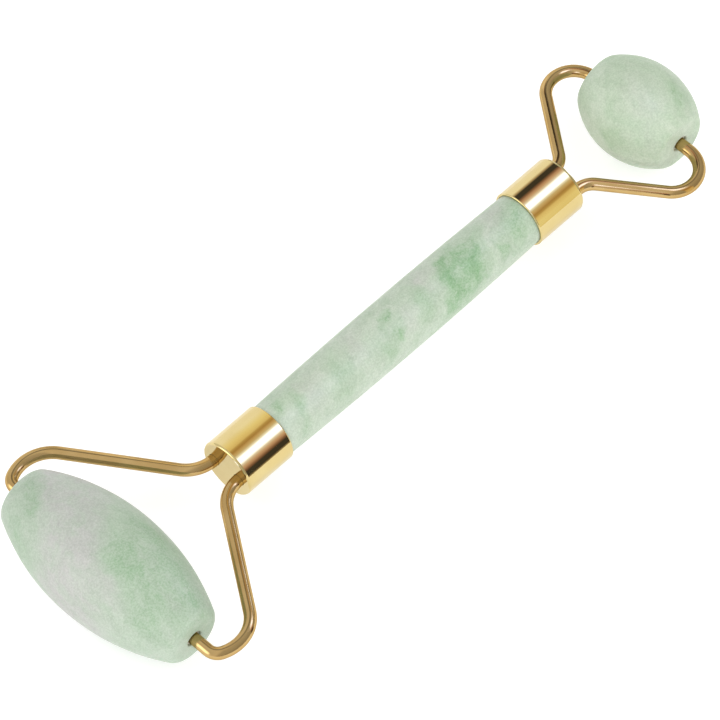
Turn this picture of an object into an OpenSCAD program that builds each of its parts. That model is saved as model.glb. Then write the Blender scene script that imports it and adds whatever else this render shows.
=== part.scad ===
// Double-ended jade face roller
// A jade handle carries a wire yoke at each end: a long oval stone runs on one and a
// short round stone on the other. Both stones turn freely on the bent-in wire ends.
//
// Units are millimetres. +X runs along the handle from the large roller to the small
// one, +Y along both axles and +Z up. The origin is on the handle's centre line, midway
// between the two ends of the tool.

/* [Overall] */
// Distance between the two axles
axle_spacing = 125; // [118:0.5:140]

/* [Large roller] */
// Largest diameter, at the middle of the stone
large_d = 20.4; // [18:0.1:21]
// Length along the axle
large_len = 39.7; // [37:0.1:40.4]
// Diameter of the end faces, before their edges are rounded
large_end_d = 10.2; // [9:0.1:12]
// Rounding of the end edges
large_edge_r = 2; // [0.8:0.1:2.4]

/* [Small roller] */
// Largest diameter, at the middle of the stone
small_d = 17.6; // [15:0.1:18]
// Length along the axle
small_len = 19.1; // [18:0.1:19.6]
// Diameter of the end faces, before their edges are rounded
small_end_d = 10; // [9:0.1:12]
// Rounding of the end edges
small_edge_r = 1.6; // [0.6:0.1:2]

/* [Axles] */
// Diameter of the yoke wire
wire_d = 2.2; // [2:0.05:2.3]
// Diameter of the hole drilled through each stone
stone_bore_d = 2.9; // [2.8:0.05:3.4]
// Radial running clearance between wire and bush
running_gap = 0.06; // [0.03:0.01:0.1]
// Depth of each bush below its end face
bush_recess = 0.5; // [0.3:0.1:1.2]
// How far both stones have slid along their axles
roller_slide = 0.8; // [-0.8:0.1:0.8]

/* [Handle stone] */
// Diameter at the middle
handle_mid_d = 10.4; // [10:0.1:11]
// Diameter of the ends that sit in the ferrules
handle_end_d = 9.64; // [9.4:0.02:9.72]

/* [Ferrules] */
// Outer diameter
ferrule_d = 10.6; // [10.6:0.1:11]
// Length from the closed end to the mouth
ferrule_len = 10.2; // [9:0.1:12]
// Rounding of the closed end's edge
ferrule_round = 0.45; // [0.3:0.05:1.25]

/* [Yokes] */
// Centre distance of the two wire holes in each ferrule
hole_pitch = 5.6; // [5.2:0.05:5.6]
// Large end: axle to ferrule
large_reach = 26.3; // [26.3:0.1:30]
// Small end: axle to ferrule
small_reach = 19.8; // [19:0.1:24]

/* [Hidden] */
$fn = 96;
eps = 0.01;
barrel_steps = 12;     // straight steps in each half of the handle's barrel

wire_r = wire_d / 2;
bore_r = stone_bore_d / 2;
hole_y = hole_pitch / 2;
leg_gap = 0.05;        // wire hole in the ferrule, wider all round
pot_gap = 0.03;        // gap left round the cured adhesive

overall = axle_spacing + large_d / 2 + small_d / 2;
large_x = large_d / 2 - overall / 2;
small_x = overall / 2 - small_d / 2;

ferrule_wall = 0.4;
ferrule_end = 0.8;     // thickness of the closed end
lip_r = 0.2;
cup_r = ferrule_d / 2 - ferrule_wall;
stone_depth = 4;       // closed end of the ferrule to the end of the handle stone

large_face_x = large_x + large_reach;
small_face_x = small_x - small_reach;
handle_len = small_face_x - large_face_x - 2 * stone_depth;
handle_show = small_face_x - large_face_x - 2 * ferrule_len;
handle_x = (large_face_x + small_face_x) / 2;

// yoke = [start of the pin bend, its radius, its angle, shoulder radius,
//         leg corner from the axle, corner radius, inner end of the pin]
large_yoke = [22.1, 2.2, 65, 6.8, large_reach - 3.43, 6.3, 10.8];
small_yoke = [10.8, 5.2, 50, 4.7, small_reach - 2.92, 3.6, 3.2];

crown_r = 1.7;         // corners of the hairpin inside the ferrule
crown_in = ferrule_end + 0.1;
large_bush_len = 7;
small_bush_len = 4.5;
pin_chamfer = 0.2;
lap = 0.05;            // how far a rod reaches into a bend
step = 0.01;           // radius difference between rods and bends

jade = [0.74, 0.83, 0.75];
gold = [0.88, 0.74, 0.42];
wire_gold = [0.75, 0.6, 0.34];
nylon = [0.86, 0.85, 0.8];
resin = [0.8, 0.76, 0.62];

// ---------------------------------------------------------------- stones

// Half outline of a roller: x is the radius, y runs along the axle. One long arc
// makes the side and runs into the rounded edge of a flat end face.
module roller_outline(d, len, end_d, edge_r) {
    half = len / 2;
    rise = (d - end_d) / 2;
    side_r = (half * half + rise * rise) / (2 * rise);
    side_x = d / 2 - side_r;
    edge_y = half - edge_r;
    edge_x = side_x + sqrt(pow(side_r - edge_r, 2) - edge_y * edge_y);
    join_y = edge_y * side_r / (side_r - edge_r);
    mouth = 0.15;
    difference() {
        union() {
            intersection() {
                translate([side_x, 0]) circle(r = side_r, $fn = 240);
                translate([0, -join_y]) square([d, 2 * join_y]);
            }
            for (s = [-1, 1]) translate([edge_x, s * edge_y]) circle(r = edge_r);
            translate([0, -half]) square([edge_x, len]);
        }
        translate([-1, -len]) square([1 + bore_r, 2 * len]);
        for (s = [-1, 1])
            polygon([[bore_r - eps, s * (half - mouth)], [bore_r + mouth + eps, s * (half + eps)],
                     [bore_r - eps, s * (half + eps)]]);
    }
}

module roller_stone(x, d, len, end_d, edge_r)
    color(jade) translate([x, roller_slide, 0]) rotate([-90, 0, 0])
        rotate_extrude() roller_outline(d, len, end_d, edge_r);

// Half outline of the handle: a slight barrel between two straight ends
module handle_outline() {
    end_r = handle_end_d / 2;
    rise = handle_mid_d / 2 - end_r;
    half = handle_len / 2;
    bevel = 0.4;
    barrel = [for (i = [-barrel_steps:barrel_steps])
        let (t = i / barrel_steps) [end_r + rise * (1 - t * t), t * handle_show / 2]];
    polygon(concat([[0, -half], [end_r - bevel, -half], [end_r, bevel - half]], barrel,
                   [[end_r, half - bevel], [end_r - bevel, half], [0, half]]));
}

module handle_stone()
    color(jade) translate([handle_x, 0, 0]) rotate([0, 90, 0]) rotate_extrude() handle_outline();

// ---------------------------------------------------------------- ferrules

// Places a part drawn with its ferrule's closed end at the origin and the mouth
// towards +X: as it is at the large end, turned round at the small end
module at_large_face() translate([large_face_x, 0, 0]) children();
module at_small_face() translate([small_face_x, 0, 0]) rotate([0, 0, 180]) children();

// Half outline of a ferrule: x is the radius, y the distance from the closed end
module ferrule_outline() {
    r = ferrule_d / 2;
    difference() {
        union() {
            translate([0, ferrule_round]) square([r, ferrule_len - ferrule_round - lip_r]);
            square([r - ferrule_round, ferrule_len - lip_r]);
            translate([r - ferrule_round, ferrule_round]) circle(r = ferrule_round);
            translate([r - lip_r, ferrule_len - lip_r]) circle(r = lip_r);
            square([r - lip_r, ferrule_len]);
            translate([0, ferrule_round]) square([r - lip_r, ferrule_len - ferrule_round]);
        }
        translate([-1, ferrule_end]) square([1 + cup_r, ferrule_len]);
        translate([-1, -1]) square([1, ferrule_len + 2]);
    }
}

module ferrule()
    color(gold) difference() {
        rotate([90, 0, 90]) rotate_extrude() ferrule_outline();
        for (s = [-1, 1]) translate([-1, s * hole_y, 0]) rotate([0, 90, 0])
            cylinder(r = wire_r + leg_gap, h = ferrule_end + 2);
    }

// Adhesive cured round the hairpin between the closed end and the handle stone
module potting()
    color(resin) difference() {
        translate([ferrule_end + pot_gap, 0, 0]) rotate([0, 90, 0])
            cylinder(r = cup_r - pot_gap, h = stone_depth - ferrule_end - 2 * pot_gap);
        hairpin(wire_r + pot_gap, 0);
    }

// ---------------------------------------------------------------- yokes

// The wire is drawn as straight rods that reach a little way into the bends between
// them; the bends are a hair thinner, so that every joint is a clean step.
module rod(p, q, r) {
    d = (q - p) / norm(q - p);
    translate([p[0] - lap * d[0], p[1] - lap * d[1], 0]) rotate([0, 0, atan2(d[1], d[0])])
        rotate([0, 90, 0]) cylinder(r = r, h = norm(q - p) + 2 * lap);
}

module bend(c, bend_r, from, to, r)
    translate([c[0], c[1], 0]) rotate([0, 0, from])
        rotate_extrude(angle = to - from) translate([bend_r, 0]) circle(r = r - step);

// The part of a yoke that ends in its ferrule: two straight legs, from x = start in,
// and the crown that joins them
module hairpin(r, start) {
    for (s = [0, 1]) mirror([0, s, 0]) {
        rod([start, hole_y], [crown_in, hole_y], r);
        bend([crown_in, hole_y - crown_r], crown_r, 0, 90, r);
    }
    rod([crown_in + crown_r, crown_r - hole_y], [crown_in + crown_r, hole_y - crown_r], r);
}

// Where a leg's lower bend ends, measured from the axle towards the ferrule
function leg_turn(y) =
    let (mid = [y[1] * (1 - cos(y[2])), y[0] + y[1] * sin(y[2])],
         c = mid + y[3] * [cos(y[2]), -sin(y[2])],
         d = [y[4], hole_y] - c)
    90 - atan2(d[1], d[0]) - acos(y[3] / norm(d));
function leg_tangent(y) = y[5] * tan(leg_turn(y) / 2);

// One side of a yoke, from the pin in the stone to the end of the leg's lower bend,
// drawn with the axle at the origin and the ferrule towards +X
module yoke_side(y) {
    pin_c = [y[1], y[0]];
    mid = pin_c + y[1] * [-cos(y[2]), sin(y[2])];
    shoulder_c = mid + y[3] * [cos(y[2]), -sin(y[2])];
    corner = [y[4], hole_y];
    turn = leg_turn(y);
    tangent = leg_tangent(y);
    leg_top = shoulder_c + y[3] * [sin(turn), cos(turn)];
    leg_end = corner + tangent * [-cos(turn), sin(turn)];
    translate([0, y[6], 0]) rotate([-90, 0, 0])
        cylinder(r1 = wire_r - pin_chamfer, r2 = wire_r, h = pin_chamfer);
    rod([0, y[6] + pin_chamfer + lap], [0, y[0]], wire_r);
    bend(pin_c, y[1], 180 - y[2], 180, wire_r);
    rod(mid, mid + eps * [sin(y[2]), cos(y[2])], wire_r);
    bend(shoulder_c, y[3], 90 - turn, 180 - y[2], wire_r);
    rod(leg_top, leg_end, wire_r);
    bend(corner + [tangent, y[5]], y[5], 270 - turn, 270, wire_r);
}

module yoke_wire(y, reach)
    color(wire_gold) union() {
        for (s = [0, 1]) mirror([0, s, 0]) translate([-reach, 0, 0]) yoke_side(y);
        hairpin(wire_r, y[4] + leg_tangent(y) - reach);
    }

// ---------------------------------------------------------------- bushes

// Sleeve in one end of a stone; side is +1 on the left (+Y) and -1 on the right
module bush(x, stone_len, len, side)
    color(nylon) translate([x, roller_slide + side * (stone_len / 2 - bush_recess), 0])
        rotate([side * 90, 0, 0]) difference() {
            cylinder(r = bore_r, h = len);
            translate([0, 0, -1]) cylinder(r = wire_r + running_gap, h = len + 2);
        }

// ---------------------------------------------------------------- parts

module large_end_ferrule() at_large_face() ferrule();
module small_end_ferrule() at_small_face() ferrule();
module large_end_potting() at_large_face() potting();
module small_end_potting() at_small_face() potting();
module large_yoke_wire() at_large_face() yoke_wire(large_yoke, large_reach);
module small_yoke_wire() at_small_face() yoke_wire(small_yoke, small_reach);
module large_roller_stone() roller_stone(large_x, large_d, large_len, large_end_d, large_edge_r);
module small_roller_stone() roller_stone(small_x, small_d, small_len, small_end_d, small_edge_r);
module large_roller_bush_left() bush(large_x, large_len, large_bush_len, 1);
module large_roller_bush_right() bush(large_x, large_len, large_bush_len, -1);
module small_roller_bush_left() bush(small_x, small_len, small_bush_len, 1);
module small_roller_bush_right() bush(small_x, small_len, small_bush_len, -1);

handle_stone();
large_end_ferrule();
small_end_ferrule();
large_end_potting();
small_end_potting();
large_yoke_wire();
small_yoke_wire();
large_roller_stone();
large_roller_bush_left();
large_roller_bush_right();
small_roller_stone();
small_roller_bush_left();
small_roller_bush_right();
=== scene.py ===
"""Looks for the double-ended jade face roller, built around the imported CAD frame."""

import math

import bmesh
import bpy
from mathutils import Matrix, Vector, noise


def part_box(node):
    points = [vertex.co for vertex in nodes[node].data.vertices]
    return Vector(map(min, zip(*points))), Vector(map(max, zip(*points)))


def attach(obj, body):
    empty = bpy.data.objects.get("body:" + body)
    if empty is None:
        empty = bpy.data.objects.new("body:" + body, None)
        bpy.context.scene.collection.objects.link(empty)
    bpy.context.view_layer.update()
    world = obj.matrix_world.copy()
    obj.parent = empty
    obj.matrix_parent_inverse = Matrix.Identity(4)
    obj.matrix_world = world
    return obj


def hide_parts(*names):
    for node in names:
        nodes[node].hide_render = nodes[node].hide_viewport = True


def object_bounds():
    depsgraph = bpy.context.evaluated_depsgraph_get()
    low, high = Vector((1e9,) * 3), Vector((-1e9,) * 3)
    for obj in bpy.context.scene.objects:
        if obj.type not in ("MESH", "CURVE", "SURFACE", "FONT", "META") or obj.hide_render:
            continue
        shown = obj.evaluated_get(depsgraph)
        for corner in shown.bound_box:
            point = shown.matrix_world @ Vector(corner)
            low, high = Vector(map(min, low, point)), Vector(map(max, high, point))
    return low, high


MM = 0.001  # the frame is in metres, and sizes below are in millimetres
WHITE = (1.0, 1.0, 1.0, 1.0)

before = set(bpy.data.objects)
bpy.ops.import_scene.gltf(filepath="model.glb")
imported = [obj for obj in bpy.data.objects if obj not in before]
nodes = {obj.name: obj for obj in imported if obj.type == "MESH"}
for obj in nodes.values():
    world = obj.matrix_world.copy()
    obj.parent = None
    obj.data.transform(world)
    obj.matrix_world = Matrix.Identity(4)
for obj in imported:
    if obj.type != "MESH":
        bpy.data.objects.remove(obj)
cad_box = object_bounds()
scene = bpy.context.scene


def node_box(name):
    """Centre and size of a CAD node's box, in millimetres."""
    low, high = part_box(name)
    return (low + high) / (2 * MM), (high - low) / MM


# ------------------------------------------------------------------ meshes

SHARP = math.radians(38)  # corners sharper than this keep a hard edge
TINY = 1e-6
STONE_SIDES = 160

# Roller stones
STONE_BORE_D = 2.9
BORE_MOUTH = 0.15  # chamfer at each end of the drilled hole
LARGE_END_D, LARGE_EDGE_R = 10.2, 2.0
SMALL_END_D, SMALL_EDGE_R = 10.0, 1.6
EDGE_STEPS, FACE_STEPS, BORE_STEPS = 12, 6, 8
HAND_FINISH = 0.09  # depth of the unevenness a hand-ground stone keeps
FINISH_WAVE = 7.0  # and how far apart its flats are
FINISH_FADE = 1.6  # the unevenness fades out this close to the bore
LARGE_SEED, SMALL_SEED = 3.0, 11.0

# Handle stone
HANDLE_END_D = 9.64
END_BEVEL = 0.4
BARREL_STEPS = 60

# Yoke wires
WIRE_SIDES = 36
ARC_STEP = 3.0  # degrees of bend for each ring
LINE_STEP = 0.8  # length of wire for each ring on a straight
PIN_CHAMFER = 0.2
HOLE_Y = 2.8  # each leg's distance from the handle's centre line
CROWN_R = 1.7  # corners of the hairpin inside the ferrule
CROWN_IN = 0.9  # its depth behind the ferrule's closed end
WIRE_INSIDE = 0.015  # the drawn wire keeps this much inside the outline of the drafted one

# Bends of each yoke: start of the pin's bend, its radius and turn, shoulder radius, the
# leg's corner from the axle, corner radius and where the pin ends inside the stone
LARGE_BENDS = (22.1, 2.2, 65, 6.8, 22.87, 6.3, 10.8)
SMALL_BENDS = (10.8, 5.2, 50, 4.7, 16.88, 3.6, 3.2)


def aim(degrees):
    """The unit vector that points along a heading in the plane."""
    return Vector((math.cos(math.radians(degrees)), math.sin(math.radians(degrees))))


def add_piece(name, bm, body, stands_for):
    """Turns a bmesh drawn in millimetres into a smooth piece that rides on a body."""
    bmesh.ops.recalc_face_normals(bm, faces=bm.faces)
    mesh = bpy.data.meshes.new(name)
    bm.to_mesh(mesh)
    bm.free()
    mesh.transform(Matrix.Scale(MM, 4))
    mesh.shade_smooth()
    obj = bpy.data.objects.new(name, mesh)
    scene.collection.objects.link(obj)
    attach(obj, body)
    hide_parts(stands_for)
    return obj


def arc_points(centre, radius, start, stop, steps):
    """Points on a circle from one angle to another, both in degrees."""
    turns = (math.radians(start + (stop - start) * i / steps) for i in range(steps + 1))
    return [(centre[0] + radius * math.cos(a), centre[1] + radius * math.sin(a)) for a in turns]


def lathe(outline, centre, axis, sides, closed):
    """Revolves an outline of (radius, height) points. A closed outline joins its last point
    to its first; an open one starts and ends on the axis. Edges of sharp corners are marked."""
    along = Vector(axis)
    across = along.orthogonal().normalized()
    third = along.cross(across)
    bm = bmesh.new()
    rings = []
    for r, h in outline:
        base = Vector(centre) + along * h
        if r < TINY:
            rings.append([bm.verts.new(base)])
            continue
        rings.append(
            [
                bm.verts.new(base + r * (across * math.cos(a) + third * math.sin(a)))
                for a in (2 * math.pi * i / sides for i in range(sides))
            ]
        )
    pairs = list(zip(rings, rings[1:]))
    if closed:
        pairs.append((rings[-1], rings[0]))
    for one, two in pairs:
        for i in range(sides):
            j = (i + 1) % sides
            corners = [one[i % len(one)], one[j % len(one)], two[j % len(two)], two[i % len(two)]]
            bm.faces.new(list(dict.fromkeys(corners)))
    count = len(outline)
    for k in range(count):
        before, here, after = (Vector(outline[(k + d) % count]) for d in (-1, 0, 1))
        ends = (here - before, after - here)
        if len(rings[k]) == 1 or min(e.length for e in ends) < TINY:
            continue
        if ends[0].angle(ends[1]) > SHARP:
            for i in range(sides):
                edge = bm.edges.get((rings[k][i], rings[k][(i + 1) % sides]))
                if edge:
                    edge.smooth = False
    return bm


def hand_ground(bm, centre, axis, bore, seed):
    """Sinks the surface by a slow, shallow noise, so the stone isn't perfectly turned."""
    along = Vector(axis)
    bm.normal_update()
    moves = []
    for v in bm.verts:
        arm = v.co - Vector(centre)
        radius = (arm - along * arm.dot(along)).length
        share = min(1.0, max(0.0, (radius - bore - BORE_MOUTH) / FINISH_FADE))
        wave = 0.5 + 0.5 * noise.noise(v.co / FINISH_WAVE + Vector((seed, 0, 0)))
        moves.append((v, -v.normal * (HAND_FINISH * wave * share)))
    for v, move in moves:
        v.co += move


def roller(name, end_d, edge_r, seed):
    """One roller stone: a long arc that runs into rounded edges, flat ends and a bore."""
    centre, size = node_box(name)
    radius, half = size.x / 2, size.y / 2
    bore = STONE_BORE_D / 2
    rise = radius - end_d / 2
    side_r = (half * half + rise * rise) / (2 * rise)
    side_x = radius - side_r
    edge_y = half - edge_r
    edge_x = side_x + math.sqrt((side_r - edge_r) ** 2 - edge_y * edge_y)
    slope = math.degrees(math.asin(edge_y / (side_r - edge_r)))
    side = arc_points((side_x, 0), side_r, -slope, slope, 2 * round(2 * half))
    edge = arc_points((edge_x, edge_y), edge_r, slope, 90, EDGE_STEPS)[1:]
    face = [
        (edge_x + (bore + BORE_MOUTH - edge_x) * i / FACE_STEPS, half)
        for i in range(1, FACE_STEPS + 1)
    ]
    deep = half - BORE_MOUTH
    bore_wall = [(bore, deep * (1 - i / BORE_STEPS)) for i in range(BORE_STEPS)]
    upper = side[len(side) // 2 :] + edge + face + bore_wall
    lower = [(r, -h) for r, h in reversed(upper[1:])]
    outline = upper + [(bore, 0)] + lower
    bm = lathe(outline, centre, (0, 1, 0), STONE_SIDES, True)
    hand_ground(bm, centre, (0, 1, 0), bore, seed)
    body = name.replace("_stone", "")
    return add_piece(name + "_ground", bm, body, name)


def grip():
    """The handle stone: a slight barrel between straight ends that sit in the ferrules."""
    centre, size = node_box("handle_stone")
    _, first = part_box("large_end_ferrule")
    last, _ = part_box("small_end_ferrule")
    show = (last.x - first.x) / MM
    half, mid_r, end_r = size.x / 2, size.z / 2, HANDLE_END_D / 2
    ends = [(0, -half), (end_r - END_BEVEL, -half), (end_r, END_BEVEL - half)]
    barrel = [
        (end_r + (mid_r - end_r) * (1 - t * t), t * show / 2)
        for t in (i / BARREL_STEPS for i in range(-BARREL_STEPS, BARREL_STEPS + 1))
    ]
    outline = ends + barrel + [(r, -h) for r, h in reversed(ends)]
    bm = lathe(outline, centre, (1, 0, 0), STONE_SIDES, False)
    return add_piece("handle_stone_ground", bm, "handle", "handle_stone")


def wire_route(start, pin_r, pin_turn, shoulder_r, corner_u, corner_r, inner, reach):
    """Half of a yoke's centre line with the axle at the origin: (point, heading) pairs from
    the pin's inner end, over the shoulder and down the leg, to the crown in the ferrule."""
    turn_rad = math.radians(pin_turn)
    mid = Vector((pin_r * (1 - math.cos(turn_rad)), start + pin_r * math.sin(turn_rad)))
    shoulder = mid + shoulder_r * aim(-pin_turn)
    corner = Vector((corner_u, HOLE_Y))
    gap = corner - shoulder
    lean = 90 - math.degrees(math.atan2(gap.y, gap.x) + math.acos(shoulder_r / gap.length))
    tangent = corner_r * math.tan(math.radians(lean) / 2)
    leg_top = shoulder + shoulder_r * aim(90 - lean)
    leg_end = corner + tangent * aim(180 - lean)
    moves = [
        ("line", start - inner),
        ("arc", pin_r, -pin_turn),
        ("arc", shoulder_r, -(90 - pin_turn + lean)),
        ("line", (leg_end - leg_top).length),
        ("arc", corner_r, lean),
        ("line", reach + CROWN_IN - corner_u - tangent),
        ("arc", CROWN_R, -90),
        ("line", HOLE_Y - CROWN_R),
    ]
    place, heading = Vector((0, inner)), 90.0
    route = [(place.copy(), heading)]
    for move in moves:
        if move[0] == "line":
            steps = max(1, math.ceil(move[1] / LINE_STEP))
            for _ in range(steps):
                place = place + aim(heading) * (move[1] / steps)
                route.append((place.copy(), heading))
            continue
        _, radius, angle = move
        steps = max(1, math.ceil(abs(angle) / ARC_STEP))
        side = math.copysign(90, angle)
        centre = place + radius * aim(heading + side)
        for _ in range(steps):
            heading += angle / steps
            place = centre + radius * aim(heading - side)
            route.append((place.copy(), heading))
    return route


def yoke(name, stone, ferrule, outward, bends):
    """A yoke wire, swept as one tube from one pin to the other through the ferrule."""
    axle = node_box(stone)[0]
    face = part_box(ferrule)
    face_x = (face[0].x if outward < 0 else face[1].x) / MM
    radius = node_box(name)[1].z / 2 - WIRE_INSIDE
    half = wire_route(*bends, abs(axle.x - face_x))
    other = [(Vector((p.x, -p.y)), 180 - heading) for p, heading in reversed(half[:-1])]
    route = half + other
    bm = bmesh.new()
    rings = []

    def ring(place, heading, r):
        side = aim(heading + 90)
        across = Vector((-outward * side.x, side.y, 0))
        centre = Vector((axle.x - outward * place.x, place.y, 0))
        rings.append(
            [
                bm.verts.new(centre + r * (across * math.cos(a) + Vector((0, 0, math.sin(a)))))
                for a in (2 * math.pi * i / WIRE_SIDES for i in range(WIRE_SIDES))
            ]
        )

    chamfer = aim(route[0][1]) * PIN_CHAMFER
    ring(*route[0], radius - PIN_CHAMFER)
    ring(route[0][0] + chamfer, route[0][1], radius)
    for place, heading in route[1:-1]:
        ring(place, heading, radius)
    chamfer = aim(route[-1][1]) * PIN_CHAMFER
    ring(route[-1][0] - chamfer, route[-1][1], radius)
    ring(*route[-1], radius - PIN_CHAMFER)
    for one, two in zip(rings, rings[1:]):
        for i in range(WIRE_SIDES):
            j = (i + 1) % WIRE_SIDES
            bm.faces.new((one[i], one[j], two[j], two[i]))
    bm.faces.new(rings[0])
    bm.faces.new(rings[-1])
    return add_piece(name + "_drawn", bm, "handle", name)


large_stone = roller("large_roller_stone", LARGE_END_D, LARGE_EDGE_R, LARGE_SEED)
small_stone = roller("small_roller_stone", SMALL_END_D, SMALL_EDGE_R, SMALL_SEED)
handle = grip()
large_yoke = yoke(
    "large_yoke_wire", "large_roller_stone", "large_end_ferrule", -1, LARGE_BENDS
)
small_yoke = yoke(
    "small_yoke_wire", "small_roller_stone", "small_end_ferrule", 1, SMALL_BENDS
)


# ------------------------------------------------------------------ node helpers


class Graph:
    """The nodes of a material or of the world. Helpers return output sockets, and take
    either a socket or a plain value wherever something is fed in."""

    def __init__(self, tree):
        self.tree = tree

    def make(self, kind, **settings):
        made = self.tree.nodes.new(kind)
        for key, value in settings.items():
            setattr(made, key, value)
        return made

    def feed(self, socket, value):
        if isinstance(value, bpy.types.NodeSocket):
            self.tree.links.new(value, socket)
        else:
            socket.default_value = value

    def math(self, operation, *values):
        made = self.make("ShaderNodeMath", operation=operation)
        for socket, value in zip(made.inputs, values):
            self.feed(socket, value)
        return made.outputs[0]

    def vector(self, operation, a, b):
        made = self.make("ShaderNodeVectorMath", operation=operation)
        self.feed(made.inputs[0], a)
        self.feed(made.inputs[1], b)
        return made.outputs["Value" if operation in ("DOT_PRODUCT", "DISTANCE") else "Vector"]

    def noise(self, where, size, detail=3.0, roughness=0.5, distortion=0.0, colour=False):
        """Noise whose clouds are about size millimetres across."""
        made = self.make("ShaderNodeTexNoise")
        self.feed(made.inputs["Vector"], where)
        made.inputs["Scale"].default_value = 1 / (size * MM)
        made.inputs["Detail"].default_value = detail
        made.inputs["Roughness"].default_value = roughness
        made.inputs["Distortion"].default_value = distortion
        return made.outputs["Color" if colour else "Fac"]

    def ramp(self, value, low, high, to_low=0.0, to_high=1.0, kind="SMOOTHSTEP"):
        """A step from one value to another, smooth or LINEAR."""
        made = self.make("ShaderNodeMapRange", interpolation_type=kind)
        self.feed(made.inputs["Value"], value)
        made.inputs["From Min"].default_value = low
        made.inputs["From Max"].default_value = high
        made.inputs["To Min"].default_value = to_low
        made.inputs["To Max"].default_value = to_high
        return made.outputs["Result"]

    def bands(self, share, stops):
        """Colours along a share from 0 to 1: (place, colour) pairs, with both ends first."""
        made = self.make("ShaderNodeValToRGB")
        self.feed(made.inputs["Fac"], share)
        elements = made.color_ramp.elements
        for k, (place, colour) in enumerate(stops):
            stop = elements[k] if k < 2 else elements.new(place)
            stop.position = place
            stop.color = (*colour, 1)
        return made.outputs["Color"]

    def mix(self, share, a, b, blend="MIX"):
        made = self.make("ShaderNodeMix", data_type="RGBA", blend_type=blend)
        self.feed(made.inputs["Factor"], share)
        self.feed(made.inputs[6], a)
        self.feed(made.inputs[7], b)
        return made.outputs[2]

    def glow(self, kind, colour, strength):
        """An Emission or a Background shader."""
        made = self.make(kind)
        self.feed(made.inputs["Color"], colour)
        self.feed(made.inputs["Strength"], strength)
        return made.outputs[0]

    def either(self, share, one, two):
        made = self.make("ShaderNodeMixShader")
        self.feed(made.inputs["Fac"], share)
        self.feed(made.inputs[1], one)
        self.feed(made.inputs[2], two)
        return made.outputs[0]

    def end(self, kind, shader):
        self.feed(self.make(kind).inputs["Surface"], shader)


class Shader(Graph):
    """A Principled material under construction."""

    def __init__(self, name, **constants):
        self.material = bpy.data.materials.new(name)
        self.material.use_nodes = True
        super().__init__(self.material.node_tree)
        self.bsdf = self.tree.nodes["Principled BSDF"]
        for key, value in constants.items():
            self.bsdf.inputs[key.replace("_", " ")].default_value = value
        self.where = self.make("ShaderNodeTexCoord").outputs["Object"]

    def drawn_out(self, where, direction, share):
        """Squeezes space along a direction, so that whatever is laid in it is drawn out."""
        along = self.vector("DOT_PRODUCT", where, direction)
        made = self.make("ShaderNodeVectorMath", operation="SCALE")
        made.inputs[0].default_value = direction
        self.feed(made.inputs["Scale"], self.math("MULTIPLY", along, 1 - share))
        return self.vector("SUBTRACT", where, made.outputs["Vector"])

    def bump(self, height, depth, strength=1.0):
        made = self.make("ShaderNodeBump")
        made.inputs["Strength"].default_value = strength
        made.inputs["Distance"].default_value = depth * MM
        self.feed(made.inputs["Height"], height)
        self.feed(self.bsdf.inputs["Normal"], made.outputs["Normal"])


def srgb(r, g, b):
    """A colour written as 0 to 255, as the linear colour a shader takes."""

    def linear(v):
        v /= 255
        return v / 12.92 if v <= 0.04045 else ((v + 0.055) / 1.055) ** 2.4

    return (linear(r), linear(g), linear(b), 1.0)


# ------------------------------------------------------------------ materials

MINT = srgb(162, 180, 158)
MIST = srgb(184, 192, 180)
MILK = srgb(178, 176, 174)
GREEN = srgb(144, 171, 140)
DEEP = srgb(102, 152, 98)
SPECK = srgb(94, 110, 94)
GRAIN_LOW = (0.18, 0.24, 0.17, 1.0)
GRAIN_HIGH = (0.92, 0.96, 0.90, 1.0)
GRAIN_SHARE = 0.14
MOTTLE_SHARE = 0.08

DRAWN = 0.42  # the clouds are this much narrower than they are long
SWAY = 6.0  # how far the clouds' borders wander
SWAY_SIZE = 5.0
CLOUD_SIZE = 4.6
TEAR_SIZE = 1.7  # rags along a cloud's border
MILK_SIZE = 2.6
WISP_SIZE = 3.2
FIBRE_SIZE = 1.6
MOTTLE_SIZE = 1.8
GRAIN_SIZE = 0.3
HONE_SIZE = 0.22
HONE_DEPTH = 0.03


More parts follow.
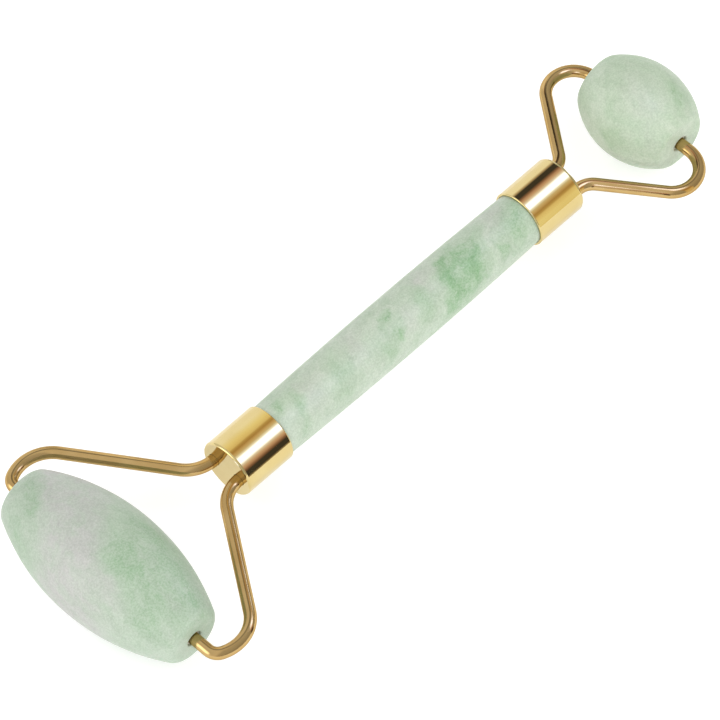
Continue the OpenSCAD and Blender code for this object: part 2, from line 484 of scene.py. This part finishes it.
def jade(name, centre, shift, direction, milk, pale, green, cloudy, tint):
    """Honed jade: mint and mist drawn out along one direction, an optional milky layer
    between two planes, pale and green clouds at given places, wisps, fibres and grain."""
    s = Shader(
        name,
        Subsurface_Weight=0.3,
        Subsurface_Radius=(1.0, 1.2, 0.95),
        Subsurface_Scale=0.0014,
        Specular_IOR_Level=0.4,
        IOR=1.6,
    )
    local = s.vector("SUBTRACT", s.where, tuple(v * MM for v in centre))
    here = s.vector("ADD", local, tuple(v * MM for v in shift))
    warp = s.vector(
        "SUBTRACT", s.noise(here, SWAY_SIZE, 4.0, 0.6, colour=True), (0.5, 0.5, 0.5)
    )
    sway = s.vector("MULTIPLY", warp, (SWAY * MM,) * 3)
    placed = s.drawn_out(s.vector("ADD", local, sway), direction, DRAWN)
    drawn = s.drawn_out(s.vector("ADD", here, sway), direction, DRAWN)
    torn = s.ramp(s.noise(drawn, TEAR_SIZE, 6.0, 0.62), 0.30, 0.66, 0.35, 1.0)

    def spot(place, radius, share):
        """Share of a cloud with ragged edges round a place on the stone."""
        at = Vector(place)
        at -= Vector(direction) * (at.dot(Vector(direction)) * (1 - DRAWN))
        far = s.vector("DISTANCE", placed, tuple(at * MM))
        near = s.ramp(far, 0.0, radius * MM, 1.0, 0.0)
        return s.math("MULTIPLY", s.math("MULTIPLY", near, torn), share)

    colour = s.mix(s.ramp(s.noise(drawn, CLOUD_SIZE, 6.0, 0.6), 0.36, 0.66), MINT, MIST)
    cloud = s.ramp(s.noise(drawn, CLOUD_SIZE, 6.0, 0.58, 0.2), 0.44, 0.66)
    colour = s.mix(s.math("MULTIPLY", cloud, cloudy), colour, GREEN)
    if milk:
        normal, start, stop = milk
        depth = s.vector("DOT_PRODUCT", s.vector("ADD", local, sway), normal)
        layer = s.math(
            "MULTIPLY",
            s.ramp(depth, start[0] * MM, start[1] * MM),
            s.ramp(depth, stop[0] * MM, stop[1] * MM, 1.0, 0.0),
        )
        mottle = s.ramp(s.noise(drawn, MILK_SIZE, 6.0, 0.62), 0.34, 0.62, 0.42, 1.0)
        colour = s.mix(s.math("MULTIPLY", layer, mottle), colour, MILK)
    for place, radius, share in pale:
        colour = s.mix(spot(place, radius, share), colour, MILK)
    for place, radius, share in green:
        colour = s.mix(spot(place, radius, share), colour, DEEP)

    # soft pale wisps and short dark fibres, each in some parts only
    ridge = s.math(
        "ABSOLUTE", s.math("SUBTRACT", s.noise(drawn, WISP_SIZE, 4.0, 0.62), 0.5)
    )
    wisps = s.math(
        "MULTIPLY", s.ramp(ridge, 0.0, 0.06, 0.28, 0.0), s.ramp(s.noise(here, 6.0), 0.45, 0.65)
    )
    colour = s.mix(wisps, colour, MIST)
    crease = s.math(
        "ABSOLUTE", s.math("SUBTRACT", s.noise(here, FIBRE_SIZE, 2.0, 0.6, 1.0), 0.5)
    )
    fibres = s.math(
        "MULTIPLY",
        s.ramp(crease, 0.0, 0.018, 0.32, 0.0),
        s.ramp(s.noise(here, 2.8), 0.60, 0.70),
    )
    colour = s.mix(fibres, colour, SPECK)

    # mottling and crystal grain
    for where, size, detail, share in (
        (drawn, MOTTLE_SIZE, 5.0, MOTTLE_SHARE),
        (here, GRAIN_SIZE, 3.0, GRAIN_SHARE),
    ):
        light = s.ramp(s.noise(where, size, detail, 0.66), 0.30, 0.70)
        colour = s.mix(share, colour, s.mix(light, GRAIN_LOW, GRAIN_HIGH))
    s.feed(s.bsdf.inputs["Base Color"], s.mix(1.0, colour, tint + (1.0,), "MULTIPLY"))

    # honed surface: uneven gloss over a fine, shallow grain
    gloss = s.ramp(s.noise(here, 1.4, 4.0, 0.6), 0.3, 0.7, 0.44, 0.58)
    s.feed(s.bsdf.inputs["Roughness"], gloss)
    fine = s.math("MULTIPLY", s.noise(here, HONE_SIZE, 3.0, 0.6), 0.6)
    slow = s.math("MULTIPLY", s.noise(here, MOTTLE_SIZE, 2.0, 0.5), 0.4)
    s.bump(s.math("ADD", fine, slow), HONE_DEPTH, 0.4)
    return s.material


def metal(name, base, deep, edge, roughness, scuff_size, bump_depth):
    """Plated or lacquered brass with faint tonal drift, handling haze and micro waviness."""
    s = Shader(name, Metallic=1.0, Specular_Tint=edge)
    drift = s.ramp(s.noise(s.where, 6.0, 3.0, 0.5), 0.35, 0.65)
    s.feed(s.bsdf.inputs["Base Color"], s.mix(drift, base, deep))
    haze = s.ramp(s.noise(s.where, scuff_size, 4.0, 0.6), 0.3, 0.75, *roughness)
    s.feed(s.bsdf.inputs["Roughness"], haze)
    s.bump(s.noise(s.where, 1.6, 2.0, 0.5), bump_depth, 0.25)
    return s.material


def plastic(name, base, deep, roughness, grain):
    """Moulded or cast plastic with a soft mottle of the given size and an uneven gloss."""
    s = Shader(name)
    mottle = s.ramp(s.noise(s.where, grain, 4.0, 0.6), 0.3, 0.7)
    s.feed(s.bsdf.inputs["Base Color"], s.mix(mottle, base, deep))
    gloss = s.ramp(s.noise(s.where, grain / 2, 3.0), 0.3, 0.7, *roughness)
    s.feed(s.bsdf.inputs["Roughness"], gloss)
    s.bump(s.noise(s.where, grain / 3, 3.0), 0.02, 0.4)
    return s.material


def paint(material, *objects):
    """Gives whole objects one material."""
    for obj in objects:
        obj.data.materials.clear()
        obj.data.materials.append(material)
        for face in obj.data.polygons:
            face.material_index = 0


# Places are measured from each stone's centre: (place, radius, strength). The milky layer
# is its normal, then where it begins and where it fades along that normal.
large_jade = jade(
    "jade_large_roller",
    node_box("large_roller_stone")[0],
    shift=(0.0, 0.0, 0.0),
    direction=(-0.01, -0.90, -0.43),
    milk=((0.70, -0.71, -0.01), (-13.0, -8.5), (-3.5, 2.5)),
    pale=(
        ((-6.0, -7.5, 7.1), 2.6, 0.9),
        ((-1.0, -15.5, 7.4), 1.5, 0.7),
        ((1.6, -6.5, 9.7), 1.1, 0.6),
    ),
    green=(
        ((3.0, -13.0, 5.0), 12.0, 0.44),
        ((-0.6, -5.2, 9.9), 4.0, 0.5),
        ((-1.7, -9.5, 8.9), 5.0, 0.4),
        ((6.0, -3.7, 8.0), 3.4, 0.6),
        ((4.8, -9.5, 7.2), 3.0, 0.3),
        ((8.2, -9.0, 4.5), 3.4, 0.4),
        ((-5.6, -14.3, 5.2), 3.4, 0.5),
        ((-3.4, 13.8, 7.1), 3.0, 0.75),
        ((-7.3, 13.6, 2.8), 4.2, 0.6),
        ((0.0, 16.5, 6.5), 3.2, 0.6),
        ((3.0, -15.6, 6.5), 3.6, 0.4),
        ((5.0, 9.0, -7.5), 4.5, 0.6),
        ((-6.0, -5.0, -7.5), 5.0, 0.6),
    ),
    cloudy=0.6,
    tint=(0.91, 0.915, 0.905),
)
small_jade = jade(
    "jade_small_roller",
    node_box("small_roller_stone")[0],
    shift=(0.0, 40.0, 0.0),
    direction=(-0.10, -0.90, -0.42),
    milk=None,
    pale=(((-2.3, -1.4, 8.4), 5.0, 0.4), ((-5.5, -8.0, 4.0), 2.2, 0.25)),
    green=(
        ((3.5, -6.0, 6.6), 2.6, 0.65),
        ((-8.4, -1.5, 2.0), 2.8, 0.55),
        ((-5.8, 7.6, 3.0), 2.2, 0.35),
        ((1.0, 7.5, 5.5), 3.0, 0.25),
        ((3.0, 3.0, -7.5), 4.0, 0.4),
    ),
    cloudy=0.25,
    tint=(0.97, 1.0, 0.92),
)
handle_jade = jade(
    "jade_handle",
    node_box("handle_stone")[0],
    shift=(0.0, 80.0, 0.0),
    direction=(-0.42, -0.76, -0.49),
    milk=None,
    pale=(
        ((7.0, 1.0, 5.0), 3.0, 0.8),
        ((-9.0, 1.0, 5.0), 3.5, 0.5),
        ((-20.5, 0.0, 5.0), 3.0, 0.6),
        ((24.5, 0.8, 4.8), 4.0, 0.7),
        ((0.5, -3.0, 4.2), 1.8, 0.6),
    ),
    green=(
        ((22.1, -3.4, 3.7), 1.9, 1.0),
        ((13.0, -3.3, 4.0), 6.5, 0.95),
        ((15.6, -3.6, 3.5), 3.0, 1.0),
        ((10.6, -4.0, 3.2), 3.0, 1.0),
        ((8.3, -4.9, 1.5), 2.2, 0.85),
        ((11.6, 1.0, 5.0), 2.2, 0.85),
        ((19.5, 1.1, 4.9), 2.2, 0.45),
        ((4.2, -2.0, 4.8), 2.4, 0.45),
        ((-3.0, -0.8, 5.1), 1.7, 0.85),
        ((-2.4, -3.6, 3.8), 1.6, 0.85),
        ((-5.6, -4.7, 2.2), 2.0, 0.5),
        ((-16.5, -2.9, 4.1), 3.2, 0.45),
        ((-24.4, -1.9, 4.6), 2.0, 0.5),
        ((-27.3, 1.0, 4.7), 1.8, 0.75),
        ((-25.3, -4.7, 1.4), 2.0, 0.55),
        ((26.4, -2.6, 4.3), 5.0, 0.6),
        ((-10.0, 3.0, -4.0), 3.5, 0.6),
        ((14.0, 2.0, -4.5), 3.5, 0.6),
    ),
    cloudy=0.25,
    tint=(0.95, 0.965, 0.925),
)
gold = metal(
    "polished_gold",
    srgb(212, 193, 136),
    srgb(209, 188, 129),
    edge=WHITE,
    roughness=(0.03, 0.08),
    scuff_size=2.0,
    bump_depth=0.004,
)
wire_gold = metal(
    "bronzed_gold_wire",
    srgb(196, 166, 112),
    srgb(188, 156, 101),
    edge=(0.62, 0.53, 0.38, 1.0),
    roughness=(0.10, 0.17),
    scuff_size=1.0,
    bump_depth=0.008,
)
nylon = plastic("white_nylon", srgb(226, 222, 210), srgb(206, 200, 184), (0.4, 0.55), 1.2)
resin = plastic("amber_resin", srgb(206, 186, 140), srgb(176, 152, 104), (0.25, 0.4), 1.5)

paint(large_jade, large_stone)
paint(small_jade, small_stone)
paint(handle_jade, handle)
paint(wire_gold, large_yoke, small_yoke)
paint(gold, nodes["large_end_ferrule"], nodes["small_end_ferrule"])
paint(resin, nodes["large_end_potting"], nodes["small_end_potting"])
paint(nylon, *[nodes[n] for n in nodes if "_bush_" in n])


# ------------------------------------------------------------------ camera

VIEW_AZIMUTH = -44.89
VIEW_ELEVATION = 56.34
VIEW_ROLL = -0.89
LENS = 362.3
SENSOR = 36.0
DISTANCE = 1.191
AIM = Vector((-4.12, 0.37, -2.09)) * MM  # what the camera points at, from the box's centre
CLIP = (0.01, 20)


def add_camera():
    az, el = math.radians(VIEW_AZIMUTH), math.radians(VIEW_ELEVATION)
    back = Vector(
        (math.sin(az) * math.cos(el), -math.cos(az) * math.cos(el), math.sin(el))
    )
    right = Vector((math.cos(az), math.sin(az), 0))
    turn = Matrix((right, back.cross(right), back)).transposed()
    turn = turn @ Matrix.Rotation(math.radians(VIEW_ROLL), 3, "Z")
    data = bpy.data.cameras.new("camera")
    data.lens, data.sensor_width = LENS, SENSOR
    data.clip_start, data.clip_end = CLIP
    camera = bpy.data.objects.new("camera", data)
    scene.collection.objects.link(camera)
    centre = (cad_box[0] + cad_box[1]) / 2 + AIM
    camera.matrix_world = Matrix.Translation(centre + back * DISTANCE) @ turn.to_4x4()
    scene.camera = camera


# ------------------------------------------------------------------ studio

FLOOR_RADIUS = 3.0
FLOOR_SIDES = 96
FLOOR_GAP = 0.0002
PAPER_TONES = (0.70, 0.72)
PAPER_MOTTLE = 40.0
PAPER_GLOW = 0.42  # the paper lies on a light table, which thins the shadows

AMBIENT = 0.80
BRIGHT_SIDE = (-0.66, 0.66, 0.35)
# Share of the way from the dim side to the bright one, then the brightness there
ROOM_LEVELS = (
    (0.0, 0.48),
    (1.0, 0.85),
    (0.20, 0.50),
    (0.42, 0.62),
    (0.55, 0.66),
    (0.66, 1.0),
    (0.80, 0.9),
)
# Boards that only metal sees: the way to each, its outer and inner half-angle in degrees,
# and what it adds to the brightness there
ROOM_BOARDS = (
    ((-0.89, 0.38, 0.26), 32, 14, 2.4),
    ((0.39, 0.39, 0.83), 14, 5, -0.65),
)

# Each softbox: its name, place, width in metres and power
SOFTBOXES = (
    ("key_softbox", (-0.35, 0.25, 0.75), 0.6, 2.2),
    ("fill_softbox", (0.5, -0.5, 0.6), 0.6, 2.0),
    ("front_softbox", (-0.55, -0.60, 0.28), 0.4, 2.6),
)

TENT_R = 0.06
TENT_STEPS = 90
TENT_SLANT = 0.425  # the camera's slant along the handle, as a share of the tent's radius
TENT_MARGIN = 0.005
TENT_FROM, TENT_TO = -10.0, 190.0  # degrees round the handle's axis from +Y
TENT_SEAM = -55.0  # where the angle jumps by a full turn, clear of the tent
TENT_PEAK = 5.0  # the stripes are kept between 0 and 1 as shares of this
TENT_GAIN = 1.25
TENT_MIRROR = 225.0  # the far tent's stripes run the other way about this sum of angles

# Angle round the handle, then the paper's colour there
STRIPES = (
    (30, (0.98, 0.98, 1.0)),
    (55, (0.92, 0.85, 0.58)),
    (72, (0.81, 0.68, 0.41)),
    (79, (0.54, 0.39, 0.18)),
    (86, (0.46, 0.30, 0.14)),
    (93, (0.62, 0.46, 0.29)),
    (101, (0.70, 0.62, 0.51)),
    (108, (1.0, 1.07, 1.47)),
    (115, (2.0, 2.3, 4.2)),
    (128, (2.0, 2.3, 4.2)),
    (137, (0.87, 0.88, 1.19)),
    (144, (0.72, 0.56, 0.56)),
    (151, (0.55, 0.36, 0.34)),
    (159, (0.25, 0.14, 0.12)),
    (166, (0.055, 0.05, 0.05)),
    (183, (0.055, 0.05, 0.05)),
)
PALE_PAPER = STRIPES[0][1]
LARGE_STRIPES = ((TENT_FROM, PALE_PAPER), (TENT_TO, (0.45, 0.37, 0.3))) + STRIPES
SMALL_STRIPES = (
    (TENT_FROM, PALE_PAPER),
    (TENT_TO, (0.9, 0.83, 0.58)),
    (35, (0.5, 0.41, 0.34)),
    (26, PALE_PAPER),
) + tuple((TENT_MIRROR - angle, colour) for angle, colour in STRIPES[1:])


def stage_object(name, mesh, material, glossy_only=False):
    """Adds a piece of the studio, which may be there for reflections alone."""
    obj = bpy.data.objects.new(name, mesh)
    scene.collection.objects.link(obj)
    mesh.materials.append(material)
    if glossy_only:
        obj.visible_camera = False
        obj.visible_diffuse = False
        obj.visible_transmission = False
        obj.visible_shadow = False
        obj.visible_volume_scatter = False
    return obj


def add_floor():
    mesh = bpy.data.meshes.new("floor")
    bm = bmesh.new()
    bmesh.ops.create_circle(bm, cap_ends=True, radius=FLOOR_RADIUS, segments=FLOOR_SIDES)
    bm.to_mesh(mesh)
    bm.free()
    s = Shader("floor_paper", Roughness=0.9, Specular_IOR_Level=0.1)
    tones = [(v, v, v, 1.0) for v in PAPER_TONES]
    s.feed(s.bsdf.inputs["Base Color"], s.mix(s.noise(s.where, PAPER_MOTTLE), *tones))
    s.bsdf.inputs["Emission Color"].default_value = WHITE
    s.bsdf.inputs["Emission Strength"].default_value = PAPER_GLOW
    floor = stage_object("floor", mesh, s.material)
    floor.location.z = cad_box[0].z - FLOOR_GAP


def add_world():
    """White to the eye and to matt surfaces; metal sees one bright side and a dimmer one,
    with a board of light and a dark board."""
    world = bpy.data.worlds.new("studio")
    scene.world = world
    world.use_nodes = True
    world.node_tree.nodes.clear()
    g = Graph(world.node_tree)
    way = g.make("ShaderNodeTexCoord").outputs["Generated"]
    share = g.ramp(g.vector("DOT_PRODUCT", way, BRIGHT_SIDE), -1, 1, kind="LINEAR")
    level = 1.0
    for side, edge, core, gain in ROOM_BOARDS:
        facing = g.vector("DOT_PRODUCT", way, Vector(side).normalized())
        reach = [math.cos(math.radians(angle)) for angle in (edge, core)]
        level = g.math("ADD", level, g.ramp(facing, *reach, 0.0, gain))
    tones = g.bands(share, [(place, (tone,) * 3) for place, tone in ROOM_LEVELS])
    room = g.glow("ShaderNodeBackground", tones, level)
    plain = g.glow("ShaderNodeBackground", WHITE, AMBIENT)
    back = g.glow("ShaderNodeBackground", WHITE, 1.0)
    ray = g.make("ShaderNodeLightPath").outputs
    lit = g.either(ray["Is Glossy Ray"], plain, room)
    g.end("ShaderNodeOutputWorld", g.either(ray["Is Camera Ray"], lit, back))


def add_softbox(name, place, size, power):
    data = bpy.data.lights.new(name, "AREA")
    data.shape = "DISK"
    data.size = size
    data.energy = power
    light = bpy.data.objects.new(name, data)
    scene.collection.objects.link(light)
    light.location = place
    light.rotation_mode = "QUATERNION"
    light.rotation_quaternion = Vector(place).to_track_quat("Z", "Y")
    light.visible_glossy = False


def add_tent(name, ferrule, stripes):
    """Half a cylinder of glowing paper over one ferrule, seen only in reflections: its
    brightness round the handle's axis is what draws the stripes on the polished gold."""
    low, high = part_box(ferrule)
    start = low.x + TENT_R * TENT_SLANT - TENT_MARGIN
    stop = high.x + TENT_R * TENT_SLANT + TENT_MARGIN
    mesh = bpy.data.meshes.new(name)
    bm = bmesh.new()
    edges = []
    for y, z in arc_points((0, 0), TENT_R, TENT_FROM, TENT_TO, TENT_STEPS):
        edges.append((bm.verts.new((start, y, z)), bm.verts.new((stop, y, z))))
    for one, two in zip(edges, edges[1:]):
        bm.faces.new((one[0], one[1], two[1], two[0]))
    bm.to_mesh(mesh)
    bm.free()
    material = bpy.data.materials.new(name)
    material.use_nodes = True
    material.node_tree.nodes.clear()
    g = Graph(material.node_tree)
    split = g.make("ShaderNodeSeparateXYZ")
    g.feed(split.inputs[0], g.make("ShaderNodeTexCoord").outputs["Object"])
    angle = g.math("ARCTAN2", split.outputs["Z"], split.outputs["Y"])
    seam = math.radians(TENT_SEAM)
    angle = g.math("WRAP", angle, seam + 2 * math.pi, seam)
    ends = (math.radians(TENT_FROM), math.radians(TENT_TO))
    share = g.ramp(angle, *ends, kind="LINEAR")
    stops = [
        ((degrees - TENT_FROM) / (TENT_TO - TENT_FROM), [v / TENT_PEAK for v in colour])
        for degrees, colour in stripes
    ]
    paper = g.glow("ShaderNodeEmission", g.bands(share, stops), TENT_PEAK * TENT_GAIN)
    g.end("ShaderNodeOutputMaterial", paper)
    stage_object(name, mesh, material, glossy_only=True)


add_camera()
scene.view_settings.view_transform = "Standard"
scene.view_settings.look = "None"
add_floor()
add_world()
for softbox in SOFTBOXES:
    add_softbox(*softbox)
add_tent("tent_large_end", "large_end_ferrule", LARGE_STRIPES)
add_tent("tent_small_end", "small_end_ferrule", SMALL_STRIPES)
